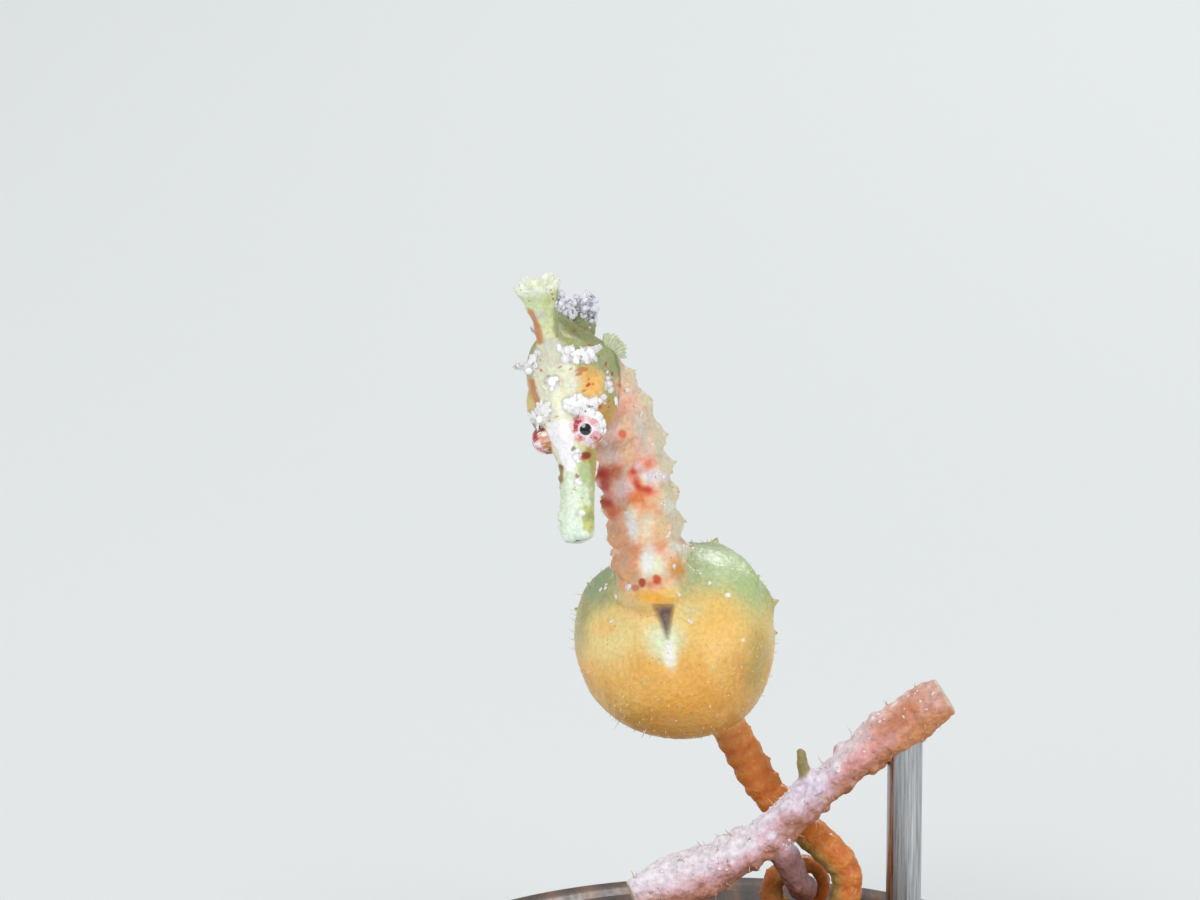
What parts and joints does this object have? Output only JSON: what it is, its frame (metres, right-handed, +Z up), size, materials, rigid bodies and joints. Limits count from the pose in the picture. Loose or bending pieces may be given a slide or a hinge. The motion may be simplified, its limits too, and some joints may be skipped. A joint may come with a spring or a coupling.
{
  "type": "pygmy seahorse model",
  "caption": "Life-size still model of a brooding pygmy seahorse, its tail coiled round a short cut stem that plain rods hold over a round base.",
  "frame": {"origin": "middle of the stand base's underside, on the floor", "axes": "+Z up; the animal's front and its head's snout face -Y, and its own left side is at +X"},
  "size_m": [0.0104, 0.0104, 0.0121],
  "materials": {
    "head": "moist skin, yellow-green with white, red and orange spots",
    "snout": "moist pale skin",
    "coronet": "moist pale yellow-green skin",
    "eye": "clear and wet, white and red iris round a black pupil",
    "trunk": "moist skin, pink-orange and white",
    "pouch": "moist stretched skin, green-grey to golden",
    "tail": "moist skin, orange-brown",
    "fin": "thin translucent membrane",
    "stem": "crusted, white to pink and orange-brown",
    "wood": "dark, satin",
    "steel": "brushed"
  },
  "bodies": {
    "root": {"head": "head", "snout": "snout", "coronet": "coronet", "eye_left": "eye", "eye_right": "eye", "neck": "trunk", "nape_wing_left": "fin", "nape_wing_right": "fin", "fin_pectoral_left": "fin", "fin_pectoral_right": "fin", "trunk_upper": "trunk", "trunk_lower": "trunk", "brood_pouch": "pouch", "fin_dorsal": "fin", "tail_base": "tail", "tail_loop": "tail", "tail_coil": "tail", "tail_tip": "tail", "perch_stem": "stem", "stand_base": "wood", "stand_rod_left": "steel", "stand_rod_right": "steel"}
  },
  "joints": []
}
